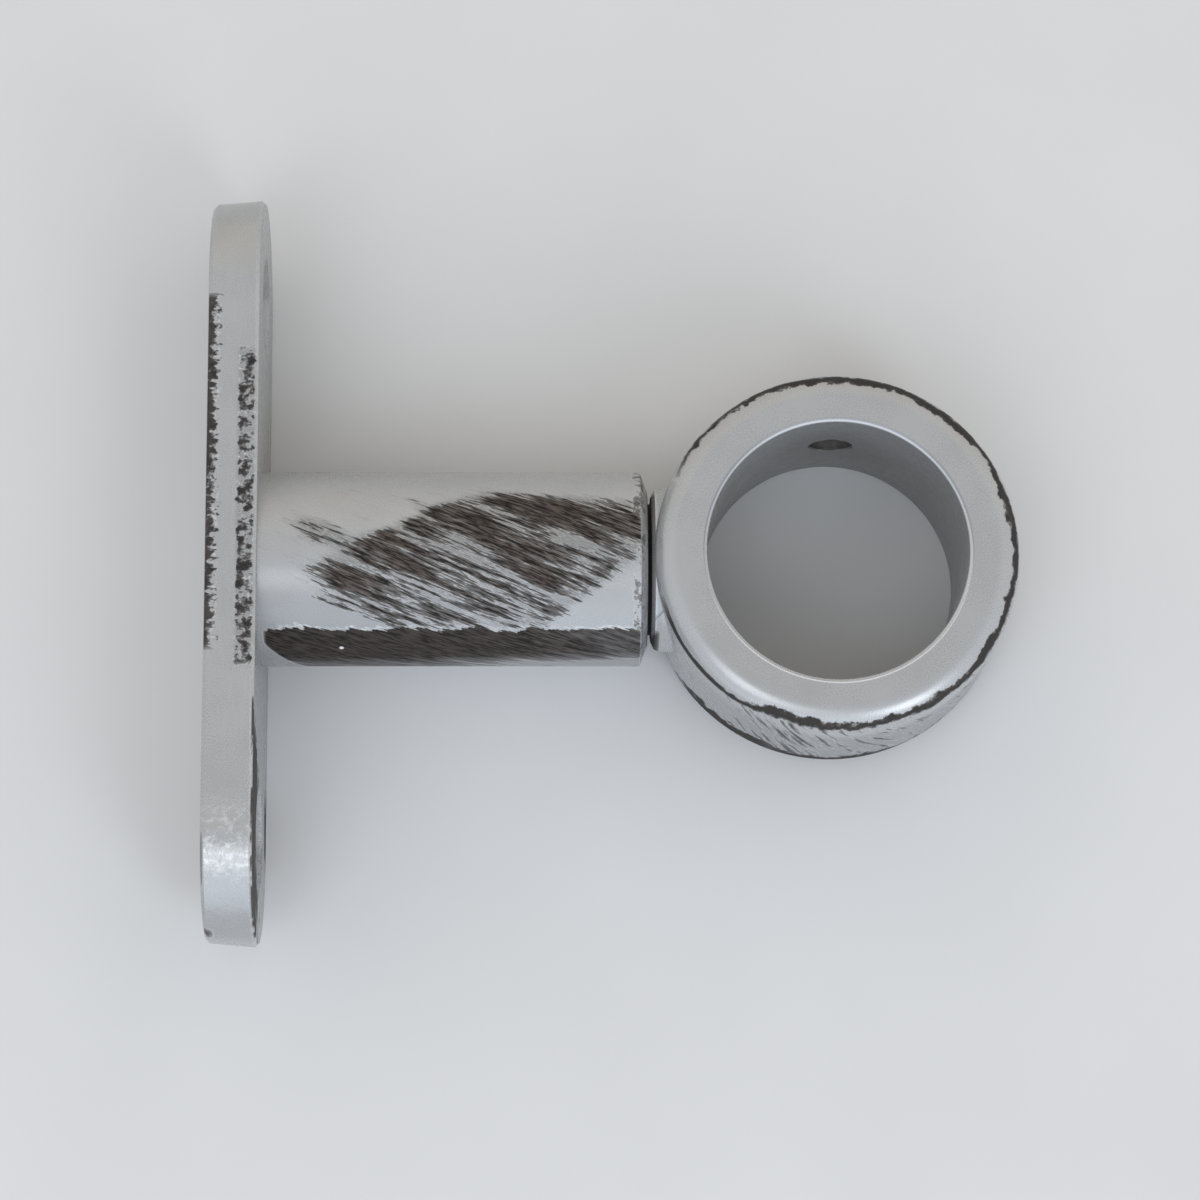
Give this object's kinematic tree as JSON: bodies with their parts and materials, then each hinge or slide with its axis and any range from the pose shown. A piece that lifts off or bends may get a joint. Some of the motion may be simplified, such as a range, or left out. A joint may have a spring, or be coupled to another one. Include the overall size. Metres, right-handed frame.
{
  "type": "curtain pole bracket",
  "caption": "Curtain pole bracket: oblong wall plate, round stem and a ring that holds the pole, in worn silver paint over black, with a tapped hole for a clamping screw.",
  "frame": {"origin": "middle of the plate's wall face, between the two wall screw holes", "axes": "+X out of the wall along the stem, +Y up the wall towards the clamping screw's hole, +Z along the pole; the part lies on its side in this frame, as it does in the picture"},
  "size_m": [0.0659, 0.0624, 0.017],
  "materials": {
    "silver_paint": "satin silver paint brushed over black, worn to the black at edges",
    "zinc_steel": "zinc plated"
  },
  "bodies": {
    "root": {"wall_plate": "silver_paint", "stem": "silver_paint", "pole_ring": "silver_paint", "plate_screw": "zinc_steel", "ring_stud": "zinc_steel"}
  },
  "joints": []
}
